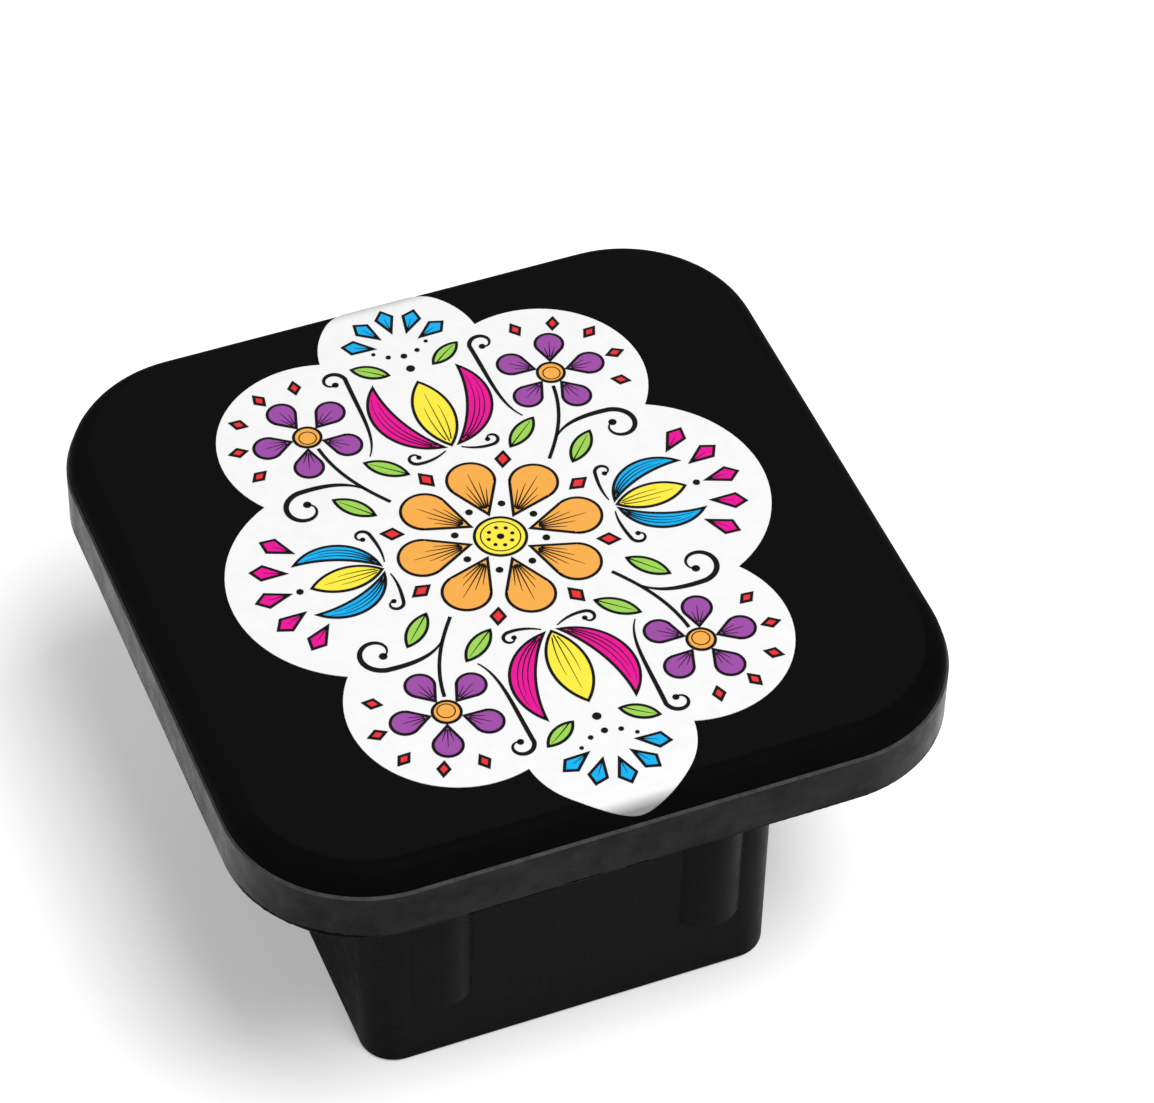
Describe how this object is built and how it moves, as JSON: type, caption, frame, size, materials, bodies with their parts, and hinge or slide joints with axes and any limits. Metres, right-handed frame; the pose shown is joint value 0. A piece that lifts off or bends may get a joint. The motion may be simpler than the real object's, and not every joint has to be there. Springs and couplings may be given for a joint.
{
  "type": "hitch receiver cover",
  "caption": "Square press-in cover for a tow hitch receiver: a hollow rubber plug with crush ribs and a wide flange that carries a printed face plate.",
  "frame": {"origin": "centre of the plug's open mouth, on the surface the cover stands on", "axes": "+Z along the plug out through the printed face, -Y towards the lower edge of the print, +X to the right of the print as it is read"},
  "size_m": [0.08, 0.08, 0.0528],
  "materials": {
    "black_rubber": "matt moulded grain",
    "black_face": "smooth satin gloss",
    "ink_white": "smooth satin gloss",
    "ink_magenta": "smooth satin gloss",
    "ink_blue": "smooth satin gloss",
    "ink_orange": "smooth satin gloss",
    "ink_yellow": "smooth satin gloss",
    "ink_green": "smooth satin gloss",
    "ink_purple": "smooth satin gloss",
    "ink_red": "smooth satin gloss"
  },
  "bodies": {
    "root": {"plug_moulding": "black_rubber", "face_plate": "black_face", "print_white": "ink_white", "print_magenta": "ink_magenta", "print_blue": "ink_blue", "print_orange": "ink_orange", "print_yellow": "ink_yellow", "print_green": "ink_green", "print_purple": "ink_purple", "print_red": "ink_red"}
  },
  "joints": []
}
